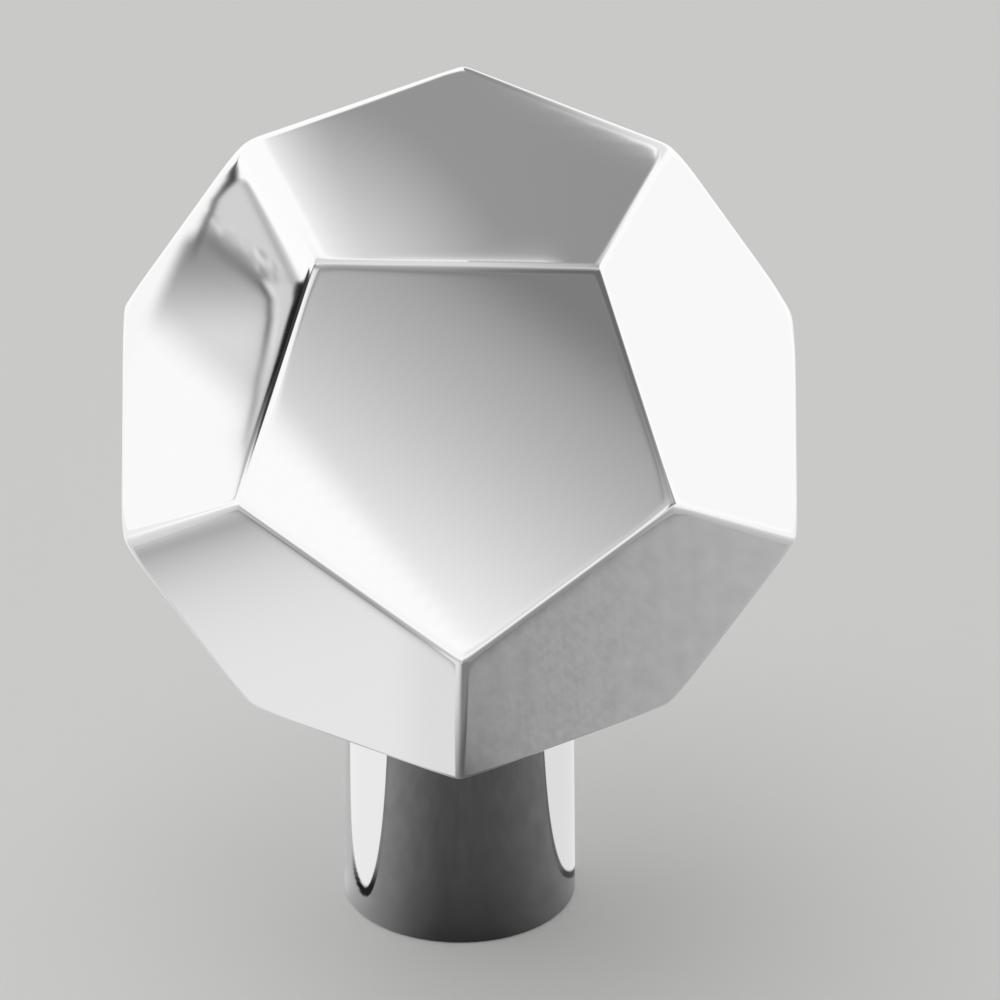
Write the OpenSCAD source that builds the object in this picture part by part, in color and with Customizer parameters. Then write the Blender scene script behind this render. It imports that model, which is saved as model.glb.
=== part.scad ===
// Faceted cabinet knob: a solid brass head ground to twelve facets, standing on a turned
// stem. A stud inside joins the two, and the stem's foot has a tapped hole for the screw
// that comes through a door or a drawer front. Head and stem are polished and chrome plated.
// The origin is the middle of the foot, and +Z runs up the stem.

/* [Head] */
// Distance between two opposite facets of the head
head_af = 26; // [22:0.5:36]
// Width of the narrow flat that eases each edge between two facets
edge_flat_w = 0.3; // [0.1:0.05:0.6]

/* [Stem] */
// Length of the stem that shows between the foot and the head
stem_len = 11.3; // [9:0.1:24]
// Diameter of the stem at its foot
foot_d = 10.5; // [9:0.1:13]
// Diameter of the stem where it enters the head
neck_d = 10.3; // [9:0.1:13]
// Radius of the round between the foot's face and the stem's side
foot_round_r = 0.15; // [0.1:0.05:0.8]

/* [Seat of the stem in the head] */
// Depth of the round seat sunk in the head's lowest facet
seat_depth = 1; // [0.5:0.1:2]
// Clearance between the seat's wall and the stem
seat_gap = 0.05; // [0.02:0.01:0.1]

/* [Thread and joining stud] */
// Outer diameter of the thread on the stud and in the foot
thread_d = 4; // [3:0.5:5]
// Pitch of that thread
thread_pitch = 0.7; // [0.5:0.05:0.8]
// Clearance between the stud and the threaded holes that hold it
thread_gap = 0.05; // [0.02:0.01:0.1]
// Length of the stud inside the head
stud_in_head = 5; // [3:0.5:8]
// Length of the stud inside the stem
stud_in_stem = 4; // [3:0.5:5]
// Room left above the stud in the head's hole
stud_end_room = 1; // [0.5:0.1:2]
// Chamfer at both ends of the stud
stud_chamfer = 0.45; // [0.2:0.05:0.6]
// Width across the flats of the stud's key socket
key_af = 2; // [1.2:0.1:2]
// Depth of the key socket
key_depth = 1.8; // [1:0.1:2.4]

/* [Fixing hole in the foot] */
// Width of the countersink round the hole's mouth
mouth_chamfer = 0.4; // [0.2:0.05:0.8]

/* [Hidden] */

// Round faces
$fn = 96;
// How far a cut runs past the face that it opens
overrun = 0.5;

// The twelve facets: one flat on top, one below and two rings of five between them.
// A ring's facets face this far above or below the level
ring_rise = atan(1 / 2);
// Turn from one facet of a ring to the next
ring_turn = 360 / 5;
// The facets are ground one by one, so they stand a little off a true solid. For each ring,
// from the front round to the right: turn to the right, tilt upwards, and stand-out as a
// share of the distance from the middle
upper_turns = [-1.5, 2, -0.5, -1, -1];
upper_tilts = [-1.5, -1, 0, -0.5, -1.5];
upper_out_share = [-0.004, 0.012, 0.004, 0.004, 0.02];
lower_turns = [0, 0, 0, 0, 1.5];
lower_tilts = [0, 0.5, 0, -0.5, 0.5];
lower_out_share = [0.004, 0.008, 0, 0.004, 0.004];

// Height of the head's middle above the foot
head_z = stem_len + head_af / 2;
// Size of the blocks that the facets are cut with
block_size = 2 * head_af;
// Whole length of the stem, with its end in the seat
stem_full_len = stem_len + seat_depth;
// Level at which the stud starts inside the stem
stud_z = stem_full_len - stud_in_stem;
stud_len = stud_in_stem + stud_in_head;
stud_hole_d = thread_d + 2 * thread_gap;
// Diameter of the drill that the fixing hole is tapped after
fixing_hole_d = thread_d - thread_pitch;
// Half the point angle of a drill
drill_half_angle = 59;

// Direction that a facet looks in, from its turn to the right of the front and its rise
function facing(turn, rise) = [sin(turn) * cos(rise), -cos(turn) * cos(rise), sin(rise)];

// A facet is written as its direction and its distance from the middle of the head
function upper_facet(i) = [
    facing(i * ring_turn + upper_turns[i], ring_rise + upper_tilts[i]),
    head_af / 2 * (1 + upper_out_share[i])
];
function lower_facet(i) = [
    facing((i + 1 / 2) * ring_turn + lower_turns[i], lower_tilts[i] - ring_rise),
    head_af / 2 * (1 + lower_out_share[i])
];
top_facet = [[0, 0, 1], head_af / 2];
bottom_facet = [[0, 0, -1], head_af / 2];
upper = [for (i = [0:4]) upper_facet(i)];
lower = [for (i = [0:4]) lower_facet(i)];

// The flat along the edge of two facets looks midway between them, and lies below the edge
// by the depth that gives it its width
function edge_flat(a, b) =
    let (
        middle = a[0] + b[0],
        half_gap = acos(norm(middle) / 2),
        depth = edge_flat_w / 2 * tan(half_gap)
    )
    [middle / norm(middle), (a[1] + b[1]) / norm(middle) - depth];

// Every edge of the head: round the top, down the upper ring, along the zigzag of its
// waist, down the lower ring and round the bottom
edge_flats = [
    for (i = [0:4])
        let (next = (i + 1) % 5)
        each [
            edge_flat(top_facet, upper[i]),
            edge_flat(upper[i], upper[next]),
            edge_flat(upper[i], lower[i]),
            edge_flat(lower[i], upper[next]),
            edge_flat(lower[i], lower[next]),
            edge_flat(lower[i], bottom_facet)
        ]
];

// All that lies behind one flat
module behind(flat) {
    turn = atan2(flat[0][0], -flat[0][1]);
    rise = asin(flat[0][2]);
    rotate([90 - rise, 0, turn])
        translate([-block_size / 2, -block_size / 2, flat[1] - block_size])
            cube(block_size);
}

// The ground block, about its own middle
module ground_block() {
    intersection_for (flat = concat([top_facet, bottom_facet], upper, lower, edge_flats))
        behind(flat);
}

// A blind hole with a drill point, from its mouth upwards
module drilled_hole(d, depth) {
    cylinder(d = d, h = depth);
    translate([0, 0, depth])
        cylinder(d1 = d, d2 = 0, h = d / 2 / tan(drill_half_angle));
}

// The head has a seat for the stem and a threaded hole for the stud in its lowest facet
module head() {
    color("silver")
        difference() {
            translate([0, 0, head_z])
                ground_block();
            translate([0, 0, stem_len - overrun])
                cylinder(d = neck_d + 2 * seat_gap, h = seat_depth + overrun);
            translate([0, 0, stem_full_len - overrun])
                drilled_hole(stud_hole_d, stud_in_head + stud_end_room + overrun);
        }
}

// Half of the stem's section, with its slight taper and the round at its foot
module stem_section() {
    difference() {
        polygon([
            [0, 0],
            [foot_d / 2, 0],
            [neck_d / 2, stem_len],
            [neck_d / 2, stem_full_len],
            [0, stem_full_len]
        ]);
        translate([foot_d / 2 - foot_round_r, 0])
            difference() {
                translate([0, -overrun])
                    square([foot_round_r + overrun, foot_round_r + overrun]);
                translate([0, foot_round_r])
                    circle(r = foot_round_r);
            }
    }
}

// The stem is threaded from end to end: the stud fills the top, and the foot takes the screw
module stem() {
    color("gainsboro")
        difference() {
            rotate_extrude()
                stem_section();
            translate([0, 0, -overrun])
                cylinder(d = fixing_hole_d, h = stud_z + 2 * overrun);
            translate([0, 0, stud_z])
                cylinder(d = stud_hole_d, h = stud_in_stem + overrun);
            cylinder(
                d1 = fixing_hole_d + 2 * mouth_chamfer,
                d2 = fixing_hole_d,
                h = mouth_chamfer
            );
        }
}

// The headless stud, with a key socket in its lower end
module joining_stud() {
    color("dimgray")
        translate([0, 0, stud_z])
            difference() {
                rotate_extrude()
                    polygon([
                        [0, 0],
                        [thread_d / 2 - stud_chamfer, 0],
                        [thread_d / 2, stud_chamfer],
                        [thread_d / 2, stud_len - stud_chamfer],
                        [thread_d / 2 - stud_chamfer, stud_len],
                        [0, stud_len]
                    ]);
                translate([0, 0, -overrun])
                    cylinder(d = key_af / cos(180 / 6), h = key_depth + overrun, $fn = 6);
            }
}

head();
stem();
joining_stud();
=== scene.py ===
import bpy
import bmesh
import numpy as np
from mathutils import Matrix, Vector


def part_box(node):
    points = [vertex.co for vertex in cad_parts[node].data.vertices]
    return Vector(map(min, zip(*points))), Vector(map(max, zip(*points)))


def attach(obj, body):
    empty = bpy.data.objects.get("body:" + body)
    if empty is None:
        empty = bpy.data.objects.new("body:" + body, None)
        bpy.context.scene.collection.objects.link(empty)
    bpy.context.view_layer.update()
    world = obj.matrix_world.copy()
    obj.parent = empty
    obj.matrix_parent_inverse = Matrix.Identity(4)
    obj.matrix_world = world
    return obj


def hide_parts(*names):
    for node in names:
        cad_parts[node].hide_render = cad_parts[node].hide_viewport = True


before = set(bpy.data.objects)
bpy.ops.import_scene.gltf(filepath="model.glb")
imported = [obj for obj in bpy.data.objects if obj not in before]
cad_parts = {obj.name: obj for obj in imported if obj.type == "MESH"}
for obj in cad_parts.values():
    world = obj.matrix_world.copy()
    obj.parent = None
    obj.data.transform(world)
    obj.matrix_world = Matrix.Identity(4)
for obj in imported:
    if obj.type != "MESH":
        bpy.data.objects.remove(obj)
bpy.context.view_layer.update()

# One millimetre, in Blender's metres
MM = 0.001


# The head is one block of solid brass, ground to twelve flat facets and then buffed until its
# edges and corners are soft, and bright chrome plated. It is ground by hand and no two facets
# lie quite alike, so their planes are read from the frame. A seat below takes the stem.
def unit(vectors):
    """Each vector divided by its own length."""
    return vectors / np.linalg.norm(vectors, axis=-1, keepdims=True)


def facet_planes(node):
    """Outward directions and distances from the origin of the node's twelve largest flats.
    The triangles are grouped by their direction, to a hundredth, and their distance, to a
    twentieth of a millimetre, and the groups are sorted by area."""
    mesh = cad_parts[node].data
    mesh.calc_loop_triangles()
    points = np.empty(len(mesh.vertices) * 3)
    mesh.vertices.foreach_get("co", points)
    corners = np.empty(len(mesh.loop_triangles) * 3, int)
    mesh.loop_triangles.foreach_get("vertices", corners)
    a, b, c = points.reshape(-1, 3)[corners.reshape(-1, 3)].transpose(1, 0, 2)
    cross = np.cross(b - a, c - a)
    area = np.linalg.norm(cross, axis=1)
    keep = area > area.max() * 1e-6
    cross, area, a = cross[keep], area[keep], a[keep]
    normal = cross / area[:, None]
    distance = (normal * a).sum(1)
    key = np.round(np.column_stack([normal * 100, distance / MM * 20]))
    _, group = np.unique(key, axis=0, return_inverse=True)
    group = group.ravel()
    largest = np.argsort(-np.bincount(group, area))[:12]
    total = np.array([cross[group == g].sum(0) for g in largest])
    away = np.array([np.average(distance[group == g], weights=area[group == g]) for g in largest])
    return unit(total), away


HEAD_MIDDLE = np.array([0, 0, sum(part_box("head")[k][2] for k in (0, 1)) / 2])
facet_normals, facet_distances = facet_planes("head")
facet_distances = facet_distances - facet_normals @ HEAD_MIDDLE
bottom_facet = int(np.argmin(facet_normals[:, 2]))

# Facets that share an edge look about 63 degrees apart, and three of them share a corner
neighbours = facet_normals @ facet_normals.T > 0.2
trios = np.array([
    (i, j, k)
    for i in range(12) for j in range(i) for k in range(j)
    if neighbours[i, j] and neighbours[j, k] and neighbours[i, k]
])
head_corners = np.linalg.solve(facet_normals[trios], facet_distances[trios][..., None])[..., 0]


def corners_of(facet):
    """The facet's five corners in order, anticlockwise as seen from outside."""
    own = head_corners[(trios == facet).any(1)]
    middle = own.mean(0)
    across = unit(own[0] - middle)
    up = np.cross(facet_normals[facet], across)
    turn = np.arctan2((own - middle) @ up, (own - middle) @ across)
    return own[np.argsort(turn)]


EDGE_ROUND = 0.33 * MM
# Turn from the front and rise of the middle of each edge that is buffed rounder than the
# rest, and its radius in mm at its two ends, the nearer to the front first
SOFT_EDGES = (
    (-72, 58, 0.5, 0.9), (0, -32, 0.45, 0.45), (0, 58, 0.4, 0.4), (54, 0, 0.33, 0.6),
    (-54, 0, 0.33, 0.85), (144, 58, 1.0, 0.5), (-144, 58, 0.7, 0.33),
)
# Turn and rise of each corner that is buffed rounder than the edges, and its radius in mm
SOFT_CORNERS = (
    (109, 10, 1.0), (-109, 11, 0.6), (107, 52, 0.4), (180, 52, 0.5), (-107, 52, 0.6),
    (73, -52, 0.7), (-71, -52, 0.7), (144, -11, 0.5), (-144, -11, 0.5), (180, 11, 0.5),
    (143, -52, 0.5), (-144, -52, 0.5), (37, 12, 0.6), (0, -52, 0.6),
)
# How far the rounder buffing spreads from an edge, and from a corner beyond its radius, in mm
EDGE_SPREAD = 1.1
CORNER_SPREAD = 0.6
# Depth of a round below the sharp edge that it replaces, as a share of its radius, where the
# two facets look 63.4 degrees apart
ROUND_DEPTH = 0.1756


def way(turn, rise):
    """The direction with a turn from the front and a rise, both in degrees."""
    t, e = np.radians(turn), np.radians(rise)
    return np.array([np.sin(t) * np.cos(e), -np.cos(t) * np.cos(e), np.sin(e)])


def facet_facing(turn, rise):
    """The number of the facet that looks most nearly that way."""
    return int(np.argmax(facet_normals @ way(turn, rise)))


def round_at(points):
    """Radius of the buffed edge near each point: the same all over, and more by a bell about
    each soft corner and one along each soft edge. Where bells meet, the largest counts."""
    extra = np.zeros(len(points))
    for turn, rise, size in SOFT_CORNERS:
        corner = head_corners[np.argmax(unit(head_corners) @ way(turn, rise))]
        gap = np.linalg.norm(points - corner, axis=1)
        bell = np.exp(-(gap / ((CORNER_SPREAD + size) * MM)) ** 2)
        extra = np.maximum(extra, (size * MM - EDGE_ROUND) * bell)
    for turn, rise, first, last in SOFT_EDGES:
        one, other = np.argsort(-facet_normals @ way(turn, rise))[:2]
        ends = head_corners[(trios == one).any(1) & (trios == other).any(1)]
        start, end = ends[np.argsort(ends[:, 1])]
        along = end - start
        share = np.clip((points - start) @ along / (along @ along), 0, 1)
        off = np.linalg.norm(points - start - share[:, None] * along, axis=1)
        size = (first + (last - first) * share) * MM
        bell = np.exp(-(off / (EDGE_SPREAD * MM)) ** 2)
        extra = np.maximum(extra, (size - EDGE_ROUND) * bell)
    return EDGE_ROUND + extra


def buffed(points):
    """Points of the sharp block moved in or out along their line from its middle to the
    buffed surface. Facet i lies at d_i / (n_i . u) along a direction u. The surface takes the
    p-norm of the twelve inverses in place of the largest, which rounds an edge by a fillet:
    p = distance * ln 2 / (depth of the fillet under the sharp edge)."""
    u = unit(points)
    power = np.linalg.norm(points, axis=1) * np.log(2) / (ROUND_DEPTH * round_at(points))
    inverse = np.clip(u @ facet_normals.T / facet_distances, 0, None)
    largest = inverse.max(1, keepdims=True)
    total = ((inverse / largest) ** power[:, None]).sum(1)
    return u / (largest[:, 0] * total ** (1 / power))[:, None]


SEAT_ROUND = 5.2 * MM
SEAT_DEPTH = 1.0 * MM
STUD_HOLE = 2.05 * MM
STUD_HOLE_DEPTH = 6.0 * MM
DRILL_TIP = 1.23 * MM
# Points this close to both sides of a crisp edge keep its shading from spreading
CRISP = 0.04 * MM

# Shares from a facet's middle to its edge, and along the edge, crowded where it is rounded
out_share = 1 - (1 - np.linspace(0, 1, 30)) ** 3
half_share = 0.5 * np.linspace(0, 1, 19) ** 2.6
along_share = np.concatenate([half_share, 1 - half_share[-2::-1]])


def quads(rows, columns):
    """Corner numbers of the faces of a grid that is numbered row by row."""
    first = (np.arange(rows - 1)[:, None] * columns + np.arange(columns - 1)).ravel()
    return np.stack([first, first + columns, first + columns + 1, first + 1], 1)


def facet_patches(facet):
    """The sharp facet as five fans of points. Each runs from the facet's middle, or on the
    lowest facet from the rim of the seat, straight out to a side."""
    five = corners_of(facet)
    middle = five.mean(0)
    if facet == bottom_facet:
        middle[:2] = 0
    side = five[:, None] + along_share[:, None] * (np.roll(five, -1, 0) - five)[:, None]
    start = np.broadcast_to(middle, side.shape)
    if facet == bottom_facet:
        start = middle + SEAT_ROUND * unit(side - middle)
    return start[:, None] + out_share[:, None, None] * (side - start)[:, None]


def seat_patch(rim):
    """The seat and the stud's hole: the rim's points carried along a stepped profile of
    radius and height about the axis."""
    base = facet_patches(bottom_facet)[0, 0, 0, 2]
    profile = np.array([
        (SEAT_ROUND, 0), (SEAT_ROUND, CRISP), (SEAT_ROUND, SEAT_DEPTH - CRISP),
        (SEAT_ROUND, SEAT_DEPTH), (SEAT_ROUND - CRISP, SEAT_DEPTH),
        (STUD_HOLE + CRISP, SEAT_DEPTH), (STUD_HOLE, SEAT_DEPTH),
        (STUD_HOLE, SEAT_DEPTH + CRISP), (STUD_HOLE, SEAT_DEPTH + STUD_HOLE_DEPTH),
        (0, SEAT_DEPTH + STUD_HOLE_DEPTH + DRILL_TIP),
    ])
    out = unit(rim * (1, 1, 0))
    patch = out * profile[:, 0, None, None]
    patch[..., 2] = base + profile[:, 1, None]
    return patch


def joined(name, patches):
    """One closed mesh from grids of points, with the seams and poles between them merged."""
    points = np.concatenate([p.reshape(-1, 3) for p in patches])
    faces, first = [], 0
    for p in patches:
        faces.append(quads(*p.shape[:2]) + first)
        first += p.shape[0] * p.shape[1]
    mesh = bpy.data.meshes.new(name)
    mesh.from_pydata(points, [], np.concatenate(faces))
    work = bmesh.new()
    work.from_mesh(mesh)
    bmesh.ops.remove_doubles(work, verts=work.verts, dist=0.0005 * MM)
    bmesh.ops.dissolve_degenerate(work, edges=work.edges, dist=0.0001 * MM)
    for face in work.faces:
        face.smooth = True
    work.to_mesh(mesh)
    work.free()
    piece = bpy.data.objects.new(name, mesh)
    bpy.context.scene.collection.objects.link(piece)
    return piece


head_patches = [patch for facet in range(12) for patch in facet_patches(facet)]
rim = np.concatenate([p[0] for p in facet_patches(bottom_facet)])
shell = [buffed(p.reshape(-1, 3)).reshape(p.shape) for p in head_patches]
shell = [p + HEAD_MIDDLE for p in shell]
seat = seat_patch(rim)[::-1] + HEAD_MIDDLE
polished_head = joined("polished_head", shell + [seat])


def node(tree, kind, **values):
    """A new shader node with some of its inputs or settings given by name."""
    made = tree.nodes.new(kind)
    for key, value in values.items():
        if key in made.inputs:
            made.inputs[key].default_value = value
        else:
            setattr(made, key, value)
    return made


def bright_chrome(name, colour, smooth, dull):
    """Mirror chrome: a metal whose roughness drifts between two low values in soft clouds, as
    the buffing wheel leaves it."""
    material = bpy.data.materials.new(name)
    material.use_nodes = True
    tree = material.node_tree
    shader = tree.nodes["Principled BSDF"]
    shader.inputs["Base Color"].default_value = (*colour, 1)
    shader.inputs["Metallic"].default_value = 1
    place = node(tree, "ShaderNodeTexCoord")
    clouds = node(tree, "ShaderNodeTexNoise", Scale=260, Detail=3, Roughness=0.55)
    span = node(tree, "ShaderNodeMapRange")
    span.inputs["From Min"].default_value = 0.35
    span.inputs["From Max"].default_value = 0.65
    span.inputs["To Min"].default_value = smooth
    span.inputs["To Max"].default_value = dull
    tree.links.new(place.outputs["Object"], clouds.inputs["Vector"])
    tree.links.new(clouds.outputs["Fac"], span.inputs["Value"])
    tree.links.new(span.outputs["Result"], shader.inputs["Roughness"])
    return material


polished_head.data.materials.append(bright_chrome("head_chrome", (0.86, 0.86, 0.865), 0.012, 0.028))
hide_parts("head")
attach(polished_head, "root")


# The stem is turned from brass bar and chromed like the head. It tapers a little from foot to
# neck, its foot has a small round, and it is threaded from end to end: the stud fills the
# top of the thread and the fixing screw comes in at the foot.
FOOT = 5.25 * MM
NECK = 5.15 * MM
FOOT_ROUND = 0.15 * MM
STEM_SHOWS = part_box("head")[0][2]
STEM_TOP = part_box("stem")[1][2]
STUD_LOW, STUD_HIGH = (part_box("joining_stud")[k][2] for k in (0, 1))
SCREW_HOLE = 1.65 * MM
MOUTH_CHAMFER = 0.4 * MM
THREAD_PITCH = 0.7 * MM
THREAD_DEPTH = 0.35 * MM
# Radius of the round that breaks every other edge of the stem and of the stud
BROKEN = 0.05 * MM


def outline(corners, rounds, steps, closed=True):
    """An outline in the plane of radius and height. Each corner gives way to an arc tangent to
    its two sides, with the radius given in rounds, and each side is divided into the number of
    steps given, which crowd towards its ends as half a cosine wave does. An open outline keeps
    its first and last corner as they are."""
    at = np.array(corners, float)
    before, after = unit(np.roll(at, 1, 0) - at), unit(np.roll(at, -1, 0) - at)
    half = np.arccos(np.clip((before * after).sum(1), -1, 1)) / 2
    size = np.array(rounds, float)
    if not closed:
        size[[0, -1]] = 0
    cut = size / np.tan(half)
    start, end = at + before * cut[:, None], at + after * cut[:, None]
    middle = at + unit(before + after) * (size / np.sin(half))[:, None]
    sweep = (np.pi - 2 * half)[:, None, None]
    share = np.linspace(0, 1, 9)[None, :, None]
    arc = np.sin((1 - share) * sweep) * (start - middle)[:, None]
    arc = middle[:, None] + (arc + np.sin(share * sweep) * (end - middle)[:, None]) / np.sin(sweep)
    parts = []
    for i in range(len(at)):
        parts.append(arc[i] if size[i] > 0 else at[i:i + 1])
        if closed or i < len(at) - 1:
            along = (1 - np.cos(np.pi * np.arange(1, steps[i]) / steps[i])) / 2
            parts.append(end[i] + along[:, None] * (np.roll(start, -1, 0)[i] - end[i]))
    return np.concatenate(parts)


def turned(profile, turns, threads=None, key_flats=None):
    """An outline carried round the axis. Threads add to the radius a wave with blunt crests
    and roots that runs along a helix, and key flats push the radius out to six flat sides."""
    angle = np.linspace(0, 2 * np.pi, turns + 1)
    radius = np.repeat(profile[:, :1], turns + 1, 1)
    height = np.repeat(profile[:, 1:], turns + 1, 1)
    if threads is not None:
        phase = (height / THREAD_PITCH - angle / (2 * np.pi)) % 1
        radius = radius + threads[:, None] * np.clip(1.35 * (1 - abs(2 * phase - 1)) - 0.15, 0, 1)
    if key_flats is not None:
        hexagon = 1 / np.cos((angle + np.pi / 6) % (np.pi / 3) - np.pi / 6)
        radius = radius * np.where(key_flats[:, None], hexagon, 1)
    return np.stack([radius * np.cos(angle), radius * np.sin(angle), height], -1).transpose(1, 0, 2)


def threaded(profile, radius, low, high, depth):
    """Depth of the thread at each point of an outline: full on the wall of that radius
    between two heights, and running out over half a turn at both ends."""
    r, z = profile.T
    run_out = np.clip(np.minimum(z - low, high - z) / (THREAD_PITCH / 2), 0, 1)
    return np.where(abs(r - radius) < 0.001 * MM, depth * run_out, 0)


stem_outline = outline(
    [
        (FOOT, 0), (NECK, STEM_SHOWS), (NECK, STEM_TOP), (STUD_HOLE, STEM_TOP),
        (STUD_HOLE, STUD_LOW), (SCREW_HOLE, STUD_LOW), (SCREW_HOLE, MOUTH_CHAMFER),
        (SCREW_HOLE + MOUTH_CHAMFER, 0),
    ],
    rounds=[FOOT_ROUND] + 7 * [BROKEN],
    steps=[40, 10, 12, 12, 6, 150, 6, 12],
)
stem_thread = threaded(stem_outline, SCREW_HOLE, MOUTH_CHAMFER, STUD_LOW, THREAD_DEPTH)
stem_ring = turned(np.vstack([stem_outline, stem_outline[:1]]), 256, np.append(stem_thread, 0))
polished_stem = joined("polished_stem", [stem_ring])
polished_stem.data.materials.append(bright_chrome("stem_chrome", (0.84, 0.84, 0.845), 0.015, 0.03))
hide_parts("stem")
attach(polished_stem, "root")


# The stud is a headless M4 screw of plain plated steel, with a key socket in its lower end.
# It is turned hard into the head's hole, and the stem is screwed up on to it.
STUD_ROUND = 2.0 * MM
STUD_CHAMFER = 0.45 * MM
KEY_HALF = 1.0 * MM
KEY_DEPTH = 1.8 * MM
# Number of the outline's points that lie in the key socket, as far as its rounded mouth
SOCKET_POINTS = 26

stud_outline = outline(
    [
        (0, STUD_LOW + KEY_DEPTH), (KEY_HALF, STUD_LOW + KEY_DEPTH), (KEY_HALF, STUD_LOW),
        (STUD_ROUND - STUD_CHAMFER, STUD_LOW), (STUD_ROUND, STUD_LOW + STUD_CHAMFER),
        (STUD_ROUND, STUD_HIGH - STUD_CHAMFER), (STUD_ROUND - STUD_CHAMFER, STUD_HIGH),
        (0, STUD_HIGH),
    ],
    rounds=[0] + 6 * [BROKEN] + [0],
    steps=[6, 6, 6, 4, 150, 4, 8, 1],
    closed=False,
)
stud_thread = threaded(
    stud_outline, STUD_ROUND, STUD_LOW + STUD_CHAMFER, STUD_HIGH - STUD_CHAMFER, -THREAD_DEPTH
)
in_socket = np.arange(len(stud_outline)) < SOCKET_POINTS
stud_ring = turned(stud_outline, 96, stud_thread, in_socket)
threaded_stud = joined("threaded_stud", [stud_ring])

stud_steel = bpy.data.materials.new("stud_steel")
stud_steel.use_nodes = True
stud_tree = stud_steel.node_tree
stud_shader = stud_tree.nodes["Principled BSDF"]
stud_shader.inputs["Base Color"].default_value = (0.48, 0.48, 0.5, 1)
stud_shader.inputs["Metallic"].default_value = 1
stud_place = node(stud_tree, "ShaderNodeTexCoord")
stud_grain = node(stud_tree, "ShaderNodeTexNoise", Scale=1800, Detail=2)
stud_span = node(stud_tree, "ShaderNodeMapRange")
stud_span.inputs["To Min"].default_value = 0.28
stud_span.inputs["To Max"].default_value = 0.5
stud_tree.links.new(stud_place.outputs["Object"], stud_grain.inputs["Vector"])
stud_tree.links.new(stud_grain.outputs["Fac"], stud_span.inputs["Value"])
stud_tree.links.new(stud_span.outputs["Result"], stud_shader.inputs["Roughness"])
threaded_stud.data.materials.append(stud_steel)
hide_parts("joining_stud")
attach(threaded_stud, "root")


# The camera looks down on the knob from 30 degrees above, through a long lens, a little off
# square to the front. The head's middle lies left of the picture's middle and above it.
RISE = np.radians(30.3)
TURN = np.radians(0.4)
ROLL = np.radians(0.1)
CAMERA_DISTANCE = 1.98
SENSOR_WIDTH = 36
PICTURE_PIXELS = 1000
PIXELS_PER_MM = 22.1
HEAD_PIXEL = np.array([460.35, 423.2])

back = np.array([np.sin(TURN) * np.cos(RISE), -np.cos(TURN) * np.cos(RISE), np.sin(RISE)])
level = np.array([np.cos(TURN), np.sin(TURN), 0])
right = level * np.cos(ROLL) + np.cross(back, level) * np.sin(ROLL)
above = np.cross(back, right)
off_middle = (PICTURE_PIXELS / 2 - HEAD_PIXEL) / PIXELS_PER_MM * MM
aim = HEAD_MIDDLE + off_middle[0] * right - off_middle[1] * above

camera_data = bpy.data.cameras.new("camera")
camera_data.sensor_width = SENSOR_WIDTH
camera_data.lens = SENSOR_WIDTH * CAMERA_DISTANCE / (PICTURE_PIXELS / PIXELS_PER_MM * MM)
camera_data.clip_end = 20
camera = bpy.data.objects.new("camera", camera_data)
pose = np.eye(4)
pose[:3, :3] = np.stack([right, above, back], 1)
pose[:3, 3] = aim + back * CAMERA_DISTANCE
camera.matrix_world = Matrix(pose.tolist())
bpy.context.scene.collection.objects.link(camera)
bpy.context.scene.camera = camera


# The floor is a plain pale sheet of matt board that fills the view. The room behind it has
# the same tone, so that no horizon shows. One wide soft lamp hangs overhead.
FLOOR_TONE = 0.80
FLOOR_HALF = 3
ROOM_TONE = (0.63, 0.63, 0.625, 1)
ROOM_STRENGTH = 0.56
LAMP_PLACE = (-0.25, 0.1, 1.2)
LAMP_SIZE = 1.2
LAMP_POWER = 3.4

floor_points = FLOOR_HALF * np.array([(-1, -1, 0), (1, -1, 0), (1, 1, 0), (-1, 1, 0)], float)
floor_mesh = bpy.data.meshes.new("floor")
floor_mesh.from_pydata(floor_points, [], [(0, 1, 2, 3)])
floor = bpy.data.objects.new("floor", floor_mesh)
bpy.context.scene.collection.objects.link(floor)
board = bpy.data.materials.new("matt_board")
board.use_nodes = True
board_shader = board.node_tree.nodes["Principled BSDF"]
board_shader.inputs["Base Color"].default_value = (FLOOR_TONE, FLOOR_TONE, 0.99 * FLOOR_TONE, 1)
board_shader.inputs["Roughness"].default_value = 0.9
board_shader.inputs["Specular IOR Level"].default_value = 0
floor_mesh.materials.append(board)

room = bpy.data.worlds.new("room")
bpy.context.scene.world = room
room.use_nodes = True
room_tree = room.node_tree
room_light = room_tree.nodes["Background"]
room_light.inputs["Color"].default_value = (1, 1, 0.99, 1)
room_light.inputs["Strength"].default_value = ROOM_STRENGTH
room_seen = node(room_tree, "ShaderNodeBackground", Strength=1)
room_seen.inputs["Color"].default_value = ROOM_TONE
ray = node(room_tree, "ShaderNodeLightPath")
either = node(room_tree, "ShaderNodeMath", operation="MAXIMUM")
any_ray = node(room_tree, "ShaderNodeMath", operation="MAXIMUM")
room_mix = node(room_tree, "ShaderNodeMixShader")
room_tree.links.new(ray.outputs["Is Camera Ray"], either.inputs[0])
room_tree.links.new(ray.outputs["Is Glossy Ray"], either.inputs[1])
room_tree.links.new(either.outputs[0], any_ray.inputs[0])
room_tree.links.new(ray.outputs["Is Transmission Ray"], any_ray.inputs[1])
room_tree.links.new(any_ray.outputs[0], room_mix.inputs[0])
room_tree.links.new(room_light.outputs[0], room_mix.inputs[1])
room_tree.links.new(room_seen.outputs[0], room_mix.inputs[2])
room_tree.links.new(room_mix.outputs[0], room_tree.nodes["World Output"].inputs[0])

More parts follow.
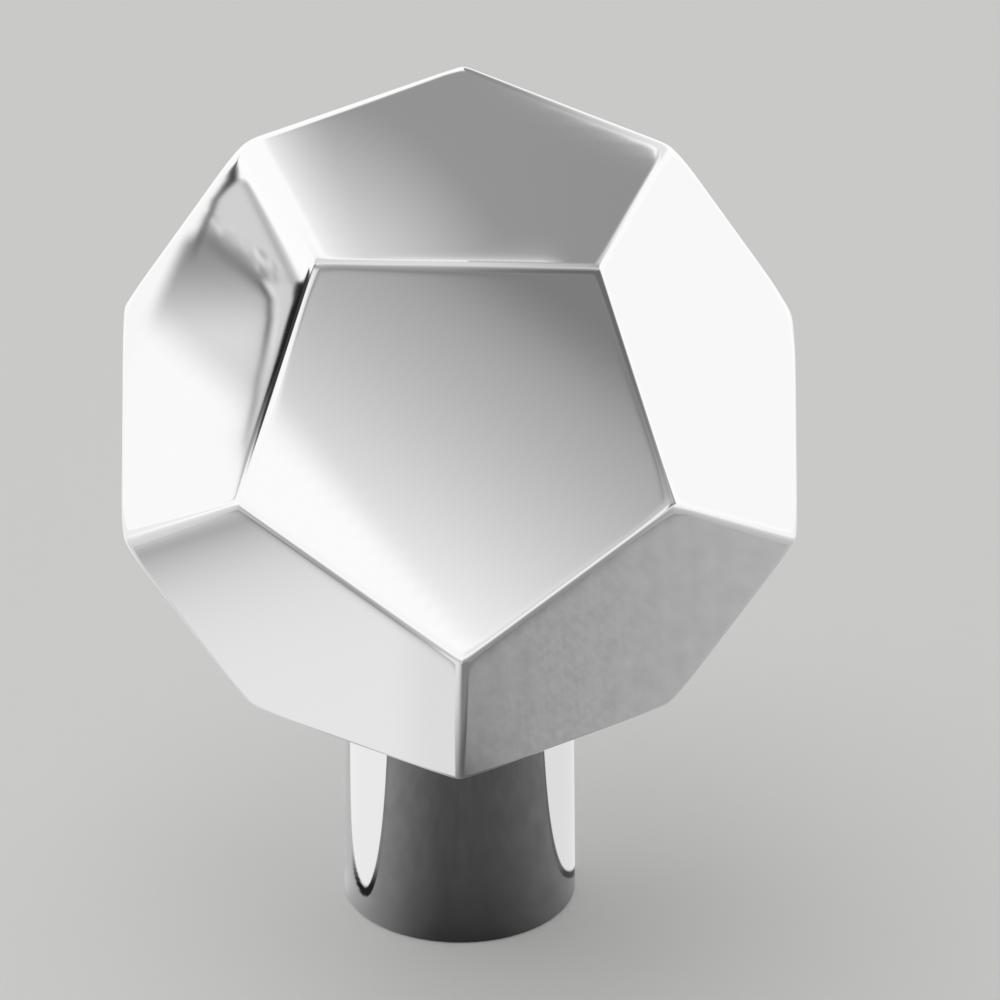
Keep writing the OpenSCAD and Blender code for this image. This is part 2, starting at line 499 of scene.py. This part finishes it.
lamp_data = bpy.data.lights.new("overhead_lamp", "AREA")
lamp_data.size = LAMP_SIZE
lamp_data.energy = LAMP_POWER
lamp = bpy.data.objects.new("overhead_lamp", lamp_data)
lamp.location = LAMP_PLACE
lamp.rotation_mode = "QUATERNION"
lamp.rotation_quaternion = (lamp.location - Vector(HEAD_MIDDLE)).to_track_quat("Z", "Y")
lamp.visible_glossy = False
bpy.context.scene.collection.objects.link(lamp)


# A tent stands round the knob, and only mirrors see it. It glows by itself, and its brightness
# is painted so that the chrome shows painted reflections: bright on the left, at the back and low
# down in front, grey overhead and to the right of the camera, with a painted dark patch on the
# left.
TENT = 75 * MM
HEAD_SHINE = 0.86

# Where the picture shows some of the head's corners, in mm right of its middle and above it:
# the front facet's upper left, left and right corners, the corner farthest to the left, the
# rear one and the one on its right, and the lowest
FRONT_TOP = (-6.61, 7.28)
FRONT_LEFT = (-10.1, -3.65)
FRONT_RIGHT = (9.76, -3.72)
FAR_LEFT = (-15.33, 5.30)
REAR = (0.18, 16.26)
REAR_RIGHT = (9.64, 12.73)
LOWEST = (-0.05, -16.2)


def ramp(x, low, high):
    """0 below low and 1 above high, along an S-curve between them."""
    t = np.clip((x - low) / (high - low), 0, 1)
    return t * t * (3 - 2 * t)


def between(x, low, high, soft):
    """1 from low to high, falling off on both sides over the width soft."""
    return ramp(x, low - soft, low) * (1 - ramp(x, high, high + soft))


def mixed(glow, other, share):
    """The first brightness where the share is 0, and the other where it is 1."""
    return glow + (other - glow) * share


def clouds_of(x, y, size, seed):
    """A cloudy pattern about 0, with a spread of 1: a fifth of the sum of fifty waves of random
    direction, phase and length, the lengths near the size."""
    random = np.random.default_rng(seed)
    turns, phases = random.uniform(0, 2 * np.pi, (2, 50))
    lengths = size * random.uniform(0.6, 2.2, 50)
    along = x[:, None] * np.cos(turns) + y[:, None] * np.sin(turns)
    return np.cos(2 * np.pi * along / lengths + phases).sum(1) / 5


def pictured(points):
    """Where the camera shows points: millimetres right of the head's middle and above it,
    drawn in perspective on the plane of that middle."""
    away = points - aim
    shrink = CAMERA_DISTANCE / (CAMERA_DISTANCE - away @ back)
    flat = np.stack([away @ right, away @ above], 1) * shrink[:, None]
    return (flat + off_middle * (1, -1)) / MM


def seen_in(facet, points):
    """Where the camera shows the mirror images of points in a facet, and how far outside the
    facet's outline. The image of a point lies as far behind the facet's plane as the point
    lies in front of it."""
    five = corners_of(facet) + HEAD_MIDDLE
    in_front = (points - five[0]) @ facet_normals[facet]
    image = pictured(points - 2 * in_front[:, None] * facet_normals[facet])
    ends = pictured(five)
    sides = unit(np.roll(ends, -1, 0) - ends)
    gap = image[:, None] - ends
    outside = (gap[..., 0] * sides[:, 1] - gap[..., 1] * sides[:, 0]).max(1)
    return *image.T, np.where(in_front < 0, 99, outside)


def past(corner, u, v, along_u, along_v):
    """How far places u and v of the picture lie past a corner along a direction, times the
    direction's length."""
    return along_u * (u - corner[0]) + along_v * (v - corner[1])


# The tones of the facets follow, by the place in the picture: painted reflections, which the
# tent glows with where each facet sees it. Each is measured along lines and edges of the facet:
# mm right of the head's middle and above it, or past a corner.
def front_tone(u, v):
    """Painted reflection: grey at the upper right, rising evenly to white at the lower left."""
    down = 3.83 - 0.57 * u - 0.82 * v
    rise = 0.202 + 0.165 * ramp(down, -3.6, 0.6) + 0.030 * np.clip(down, 0, 20)
    rise += 0.0011 * np.clip(down, 0, 20) ** 2
    return np.minimum(rise + 0.2 * ramp(-4.78 - 0.79 * u - 0.61 * v, 0.4, 2.4), 0.96)


def top_tone(u, v):
    """Painted reflection: white at the far left, falling quickly and then slowly to a flat grey,
    with a painted highlight along the nearest edge and one along the right rear edge that
    swells to its end."""
    up = v - 7.75
    slow = 0.655 - 0.056 * up - (0.055 - 0.0045 * up) * (u + 4.5)
    rest = 0.29 - 0.012 * ramp(u, 1, 8)
    # Painted highlights along the nearest edge, and along the right rear edge swelling to its end
    inside = past(FRONT_TOP, u, v, -0.0263, -1)
    rest += 0.4 * np.exp(np.minimum(inside, 0) / 0.33) * between(u, -4, 3.5, 1.5)
    along = np.clip(past(REAR, u, v, 0.0928, -0.0347), 0, 1.1)
    depth = np.clip(past(REAR_RIGHT, u, v, -0.35, -0.937), 0.2, 9)
    rest += 0.48 * along ** 2 * np.exp((0.36 - depth) / 0.38)
    slow = rest + 0.5 * (slow - rest + np.hypot(slow - rest, 0.02))
    fast = np.clip(1 - (u + 8.3 + 0.25 * up) / 4.5, 0, 1.2)
    return np.minimum(slow + 0.45 * fast ** 2, 0.96)


def left_tone(u, v):
    """Painted reflection: white low down and along the outer side, grey above, and a pale panel
    at the top. A painted dark line runs along the panel's outer side, and another leads down
    from its inner end. A painted dark patch lies beside the nearest edge."""
    tone = 0.28 + 0.40 * ramp(-v, -7.9, -3.6) + 0.26 * (1 - ramp(v + 0.9 * (u + 10.4), 0, 3.2))
    outer = past(FAR_LEFT, u, v, 0.812, -0.583)
    white = 1 - ramp(outer, 0.1 + 0.2 * (9 - v), 0.57 + 0.25 * (9.65 - v))
    tone = mixed(tone, 0.92, white)

    # The painted pale panel is flecked along its lip, with a painted shade under it
    lip = v - 8.9 + 0.8 * (u + 11.55)
    shade = ramp(outer, 0.9, 1.6) * (0.75 + 0.2 * ramp(u, -10.4, -9.3))
    tone = mixed(tone, 0.21, shade * np.exp(-((lip + 0.55) / 0.42) ** 2))
    flecks = clouds_of(2.4 * (0.92 * u + 0.39 * v), 0.39 * u - 0.92 * v, 1.0, 3)
    flecks *= between(lip, 0, 0.8, 0.4) * (0.3 + 0.7 * between(abs(u + 10), 0.9, 1.6, 0.3))
    tone = mixed(tone, 0.625 + 0.09 * flecks, ramp(lip + 0.12 * flecks, -0.4, 0.9))

    # A painted dark line leads down, with a painted shade before it and a painted pale strip on its
    # right
    painted_line_gap = u - np.interp(
        v, [-2.6, -1.7, -0.8, 0.1, 1, 2, 2.9, 3.8, 4.7, 5.6, 6, 6.5],
        [-9.8, -9.78, -9.74, -9.52, -9.31, -9.17, -8.95, -8.79, -8.65, -8.65, -8.85, -9.15],
    )
    below = 1 - ramp(v, 6.1, 6.7)
    before = np.exp(np.minimum(painted_line_gap, 0) / 0.35) * ramp(v, -3, 0) * ramp(-lip, -0.5, 0.5)
    tone = mixed(tone, 0.22, 0.35 * before * below)
    tone = mixed(tone, 0.62, ramp(painted_line_gap, 0, 0.2) * below)
    line = np.exp(-(painted_line_gap / 0.16) ** 2) * ramp(v, -3, 1)
    tone = mixed(tone, 0.16, (0.5 + 0.45 * ramp(v, 2, 5)) * line * below)
    strip = np.exp(-((painted_line_gap - 0.36) / 0.11) ** 2) * ramp(v, 1, 4)
    tone = mixed(tone, 0.76, 0.7 * strip * below)

    # A painted dark line along the panel's outer side, with painted white beside it
    painted_rim_gap = u - np.interp(
        v, [7.4, 7.84, 8.29, 8.74, 9.19, 9.65, 10.1, 10.55, 11, 11.46, 11.91, 12.36],
        [-12.14, -11.99, -11.81, -11.63, -11.46, -11.24, -11.09, -10.73, -10.34,
         -10.24, -10.14, -10.04],
    )
    width = 0.17 + 0.13 * ramp(v, 10.3, 11.1) + 0.04 * (1 - ramp(v, 8.4, 9))
    depth = 0.02 + 0.15 * (1 - ramp(v, 9.6, 11)) + 0.06 * ramp(v, 11.2, 12)
    tone = mixed(tone, 0.93, (1 - ramp(painted_rim_gap, -0.6, 0.2)) * ramp(v, 8, 9))
    tone = mixed(tone, depth, np.exp(-(painted_rim_gap / width) ** 4) * ramp(v, 7.0, 8.4))

    # Above the painted dark patch, a painted white band with a thin grey border fills the rest
    band = past(FRONT_TOP, u, v, 0.86, 0.51) + 0.67 + 0.09 * np.clip(9.8 - v, -0.8, 9)
    band = np.where(v > 11.05, 1.3 * (u + 10.04), band)
    tone = mixed(tone, 0.42, 0.9 * np.exp(-((band + 0.28) / 0.17) ** 2) * (v < 10.9))
    tone = mixed(tone, 0.97, ramp(band, -0.1, 0.12))
    # The painted dark patch beside the nearest edge
    gap = past(FRONT_TOP, u, v, -0.953, 0.304)
    wide = 0.26 + 0.14 * ramp(v, 1, 5.5) + 0.11 * ramp(v, 5.4, 6.1)
    dark = (1 - ramp(gap, wide - 0.09, wide + 0.09)) * ramp(v, -4.2, 2.2)
    return mixed(tone, 0.015, dark * (1 - ramp(v, 6.3, 6.5)))


def tent_glow(points):
    """Painted brightness of the tent by its direction from the head's middle, which the soft
    edges sweep over, and over that the tones which the upper facets show in the picture, painted
    in as their reflections."""
    x, y, z = unit(points - HEAD_MIDDLE).T
    turn = np.degrees(np.arctan2(x, -y))
    rise = np.degrees(np.arcsin(z))
    glow = 0.22 + 0.08 * (1 + np.cos(np.radians(3 * (turn + 150)))) + 0.2 * ramp(rise, 32, 60)

    # Painted bright glow on the left, and a painted dark patch with painted white below and above
    # it
    wall = between(turn, -72, -16 - 8 * ramp(rise, 22, 30), 8) * between(rise, 10, 34, 7)
    glow = mixed(glow, 1.12 - 0.35 * ramp(rise, 25, 34), wall)
    sill = rise + 2.5 - 0.5 * (turn + 118)
    glow = mixed(glow, 1.1, between(turn, -132, -40, 10) * (1 - ramp(sill, -1.5, 1.5)))
    top = rise - 75 - 0.57 * turn
    painted_dark_patch = between(turn, -122, -92, 3 + 9 * (turn > -100)) * ramp(sill, -1.5, 1.5)
    glow = mixed(glow, 0.05, painted_dark_patch * (1 - ramp(top, -2.4, -1)))
    over = between(turn, -122, -92, 3) * ramp(top, -2.4, -1)
    glow = mixed(glow, 1.12, over * (1 - ramp(rise, 40, 55)))
    rear_left = (1 - between(turn, -121, 175, 1)) * (x < 0)
    glow = mixed(glow, 1.12, rear_left * between(rise, 4, 50, 1.5))

    # Painted darker to the right of the camera, white at the back and low down in front
    dim = between(turn, 16 - 12 * ramp(rise, 28, 34), 66, 10) * between(rise, 10, 42, 14)
    glow = mixed(glow, 0.16 + 0.35 * (1 - ramp(rise, 16, 30)), dim)
    glow = mixed(glow, 1.12, between(turn, 96, 158, 12) * (1 - ramp(rise, 42, 56)))
    glow = mixed(glow, 0.9, between(turn, 150, 166, 12) * between(rise, 8, 36, 6))
    rear = 1 - between(turn, -121, 128, 1 + 9 * (turn > 0))
    glow = mixed(glow, 1.12, rear * (1 - ramp(rise, 14, 30)))
    low = 1.08 - 0.5 * ramp(turn, -6, 12) * ramp(rise, -6, 14)
    glow = mixed(glow, low, between(turn, -34, 26, 8) * (1 - ramp(rise, 14, 22)))

    # Painted grey overhead, lighter towards the left and the back
    overhead = 0.24 + 0.2 * ramp(-x, -0.03, 0.12) + 0.45 * ramp(y, -0.75, -0.15)
    overhead = mixed(overhead, 0.82 - 0.36 * ramp(x, -0.05, 0.16), ramp(y, -0.1, 0.15))
    glow = mixed(glow, overhead, ramp(rise, 44, 56))

    # Over all that, the painted reflections of the front, top and left facets where each sees the
    # tent, and a flat painted white where the right facet sees it
    for turn_rise, tone, first, fade in (
        ((0, 26), front_tone, 0.3, 6), ((0, 90), top_tone, 0.2, 2.5),
        ((-72, 26), left_tone, 1.5, 4.5),
    ):
        u, v, outside = seen_in(facet_facing(*turn_rise), points)
        glow = mixed(glow, tone(u, v) / HEAD_SHINE, 1 - ramp(outside, first, fade))
    u, v, outside = seen_in(facet_facing(72, 26), points)
    return mixed(glow, 0.93 / HEAD_SHINE, 1 - ramp(outside, 1, 6))


def glowing_sheet(name, grid, glow):
    """A sheet that shines by itself, with its brightness stored at each point of its grid.
    Only mirrors see it, and it gives no light to the floor."""
    mesh = bpy.data.meshes.new(name)
    mesh.from_pydata(grid.reshape(-1, 3), [], quads(*grid.shape[:2]))
    mesh.attributes.new("glow", "FLOAT", "POINT").data.foreach_set("value", glow.ravel())
    sheet = bpy.data.objects.new(name, mesh)
    bpy.context.scene.collection.objects.link(sheet)
    material = bpy.data.materials.new(name)
    material.use_nodes = True
    tree = material.node_tree
    tree.nodes.clear()
    stored = node(tree, "ShaderNodeAttribute", attribute_name="glow")
    shine = node(tree, "ShaderNodeEmission")
    result = node(tree, "ShaderNodeOutputMaterial")
    tree.links.new(stored.outputs["Fac"], shine.inputs["Strength"])
    tree.links.new(shine.outputs["Emission"], result.inputs["Surface"])
    mesh.materials.append(material)
    for flag in ("visible_camera", "visible_diffuse", "visible_shadow", "visible_transmission"):
        setattr(sheet, flag, False)


tent_turn = np.radians(np.linspace(-180, 180, 721))[:, None]
tent_rise = np.radians(np.linspace(0, 90, 181))[None, :]
tent_grid = TENT * np.stack([
    np.sin(tent_turn) * np.cos(tent_rise), -np.cos(tent_turn) * np.cos(tent_rise),
    np.sin(tent_rise) + 0 * tent_turn,
], -1)
glowing_sheet("tent", tent_grid, tent_glow(tent_grid.reshape(-1, 3)))


# The part of the tent with the painted dark patch has a finer grid of its own, just inside the tent
def lined_up(facet, u, v, radius):
    """Points on a ball about the origin that the camera sees in a facet at the places u and v
    of the picture, each where its line of sight, mirrored in the facet, meets the ball."""
    flat = np.stack([u * MM - off_middle[0], v * MM + off_middle[1]], -1)
    camera_at = aim + back * CAMERA_DISTANCE
    sight = unit(aim + flat @ np.stack([right, above]) - camera_at)
    normal = facet_normals[facet]
    reach = facet_distances[facet] - (camera_at - HEAD_MIDDLE) @ normal
    mirror = camera_at + sight * (reach / (sight @ normal))[..., None]
    sight = sight - 2 * (sight @ normal)[..., None] * normal
    ahead = (mirror * sight).sum(-1)
    further = np.sqrt(ahead ** 2 + radius ** 2 - (mirror ** 2).sum(-1)) - ahead
    return mirror + sight * further[..., None]


LINING_GAP = 0.5 * MM
# Places in the picture by their distance in mm down the facet's inner edge and away from it
down_edge = np.arange(-4.8, 15.2, 0.08)[:, None]
from_edge = np.concatenate([np.arange(-0.3, 0.8, 0.03), np.arange(0.8, 8.2, 0.07)])[None, :]
lining_u = FRONT_TOP[0] - 0.304 * down_edge - 0.953 * from_edge
lining_v = FRONT_TOP[1] - 0.953 * down_edge + 0.304 * from_edge
lining_grid = lined_up(facet_facing(-72, 26), lining_u, lining_v, TENT - LINING_GAP)
glowing_sheet("lining", lining_grid, tent_glow(lining_grid.reshape(-1, 3)))


# Two sheets lie under the tent. The table sheet glows with painted shade in front of the stem
# and painted white behind it, which paints the stem's reflection: its dark middle and its two
# white stripes.
def ring_grid(radii, height):
    """Points on circles about the axis, all at one height."""
    turn = np.linspace(0, 2 * np.pi, 961)[:, None]
    across = radii[None, :] * np.sin(turn)
    return np.stack([across, -radii[None, :] * np.cos(turn), np.full(across.shape, height)], -1)


def table_glow(points):
    """Painted reflection for the stem: dark in front and lighter to both sides, most of all near
    the stem. White in a wedge on the left and behind a line on the right, with painted dark
    borders that are deepest near the stem."""
    x, y = points[:, 0] / MM, points[:, 1] / MM
    turn = np.degrees(np.arctan2(x, -y))
    far = np.hypot(x, y)
    glow = 0.155 * (np.clip(-8 - turn, 0, 90) / 60) ** 1.6
    glow += 0.085 * (np.clip(turn - 15, 0, 90) / 67) ** 1.7
    glow *= 1 + 0.9 * np.exp((5.3 - far) / 2)
    glow += 0.066 - 0.043 * np.exp((5.3 - far) / 5.5)
    glow *= 1 + 0.03 * clouds_of(x, y, 2.5, 5)
    glow = mixed(glow, 0.45, ramp(-turn, 85, 110))
    long_side = (y - 0.26 + 0.165 * (x - 6.5)) / 1.014
    short_side = (y - 0.2 + 0.8 * (x - 7.3)) / 1.28
    in_right = -np.logaddexp(-4 * long_side, -4 * short_side) / 4
    right_white = ramp(in_right, -0.12, 0.12) * ramp(x, -0.5, 0.5)
    right_dark = between(in_right, -0.6, -0.1, 0.1) * ramp(x, 5, 6)
    right_dark *= 0.75 - 0.5 * ramp(far, 7, 8.5)
    front_side = (y + 2.6 - 0.385 * (x + 7.5)) / 1.072
    rear_side = (-x - 7.1 - 0.45 * (y + 1.45)) / 1.097
    in_wedge = -np.logaddexp(-3 * front_side, -3 * rear_side) / 3
    left_white = ramp(in_wedge, -0.12, 0.12)
    left_dark = between(in_wedge, -0.6, -0.1, 0.1) * (1 - 0.85 * ramp(far, 7.8, 10.5))
    left_dark *= 1 - ramp(y, -1.5, 2.5)
    glow = mixed(glow, 0.015, np.maximum(right_dark, left_dark))
    glow = mixed(glow, 0.71, right_white)
    return mixed(glow, 0.81, left_white) / 0.84


TABLE_HEIGHT = 0.01 * MM
table_radii = np.concatenate([np.linspace(4.92, 30, 140), np.linspace(31, 75, 30)]) * MM
table_grid = ring_grid(table_radii, TABLE_HEIGHT)
glowing_sheet("table_sheet", table_grid, table_glow(table_grid.reshape(-1, 3)))


# The upper sheet has a hole for the stem, and the head's lower facets look down on it. Its
# brightness paints their reflections: white behind, and in front light on the left and a
# mottled grey on the right.
def collar_glow(points):
    """Brightness by turn from the front and distance from the axis, which the soft edges
    sweep over, and over that the tones which the two lower facets show in the picture, painted
    in as their reflections. The edge between those two looks at a painted dark strip near the
    middle."""
    x, y = points[:, 0] / MM, points[:, 1] / MM
    turn = np.degrees(np.arctan2(x, -y))
    far = np.hypot(x, y)
    glow = np.full(len(x), 0.98)
    aside = ramp(abs(turn), 50, 80)
    right_side = 0.31 + 0.2 * aside + 0.55 * ramp(far, 16, 60 - 12 * aside)
    glow = mixed(glow, right_side, between(turn, 0, 110, 3 + 10 * (turn > 50)))
    left_side = 0.4 + 0.3 * aside + 0.2 * (1 - ramp(-turn, 25, 50)) + 0.55 * ramp(far, 16, 56)
    glow = mixed(glow, left_side, between(turn, -95, -2, 8))

    u, v, outside_left = seen_in(facet_facing(-36, -26), points)
    below = 0.311 * u - 0.951 * v - 0.335
    left = 0.775 - 0.38 * np.exp(-np.clip(below - 0.9, 0, 99) / 2.04)
    left += 0.12 * (1 - ramp(below, 0, 0.9))
    left -= 0.07 * ramp(u, -3.5, -1)
    # A painted dark line along the lower left facet's front edge
    depth = np.clip(past(FRONT_LEFT, u, v, -0.579, -0.816), 0, 9)
    border = 0.35 + 0.25 * between(u, -7.5, -3, 2.5)
    left *= 1 - border * np.exp(-(depth / 0.27) ** 2)
    glow = mixed(glow, left / HEAD_SHINE, (1 - ramp(outside_left, 0.05, 0.8)) * (x < 0))

    u, v, outside_right = seen_in(facet_facing(36, -26), points)
    # The lower right facet's painted reflection: a painted mottle, painted shade near the lowest
    # corner and a painted dark line along its front edge
    grain = 0.02 * clouds_of(u, v, 0.9, 7)
    grain += 0.03 * clouds_of(u, v, 0.33, 11) * np.exp(-((u - 4.5) / 4) ** 2)
    grey = (0.30 + 0.115 * (u - 1.35) / 12.2) * (1 + grain)
    grey -= 0.18 * np.exp(-np.hypot(u - LOWEST[0], v - LOWEST[1]) / 1.4)
    depth = np.clip(past(FRONT_RIGHT, u, v, 0.597, -0.802), 0, 9)
    grey -= 0.085 * np.exp(-(depth / 0.36) ** 2)
    glow = mixed(glow, grey / HEAD_SHINE, (1 - ramp(outside_right, 0.05, 0.8)) * (x > 0))

    # A painted strip under the edge between the two lower facets, dark on the right and white on
    # the left
    nearest = ramp(np.minimum(outside_left, outside_right), 0, 0.3) * between(y, -17, -8, 1.5)
    strip = mixed(0.12 + 0.11 * ramp(-y, 10, 12.5), 0.86, ramp(-x, -1.5, 6))
    return mixed(glow, strip, nearest * between(x, -7, 6, 1))


COLLAR_HEIGHT = 8.4 * MM
collar_radii = np.concatenate([np.linspace(7, 25, 181), np.linspace(25.5, 75, 60)]) * MM
collar_grid = ring_grid(collar_radii, COLLAR_HEIGHT)
glowing_sheet("collar_sheet", collar_grid, collar_glow(collar_grid.reshape(-1, 3)))

bpy.context.scene.view_settings.view_transform = "Standard"
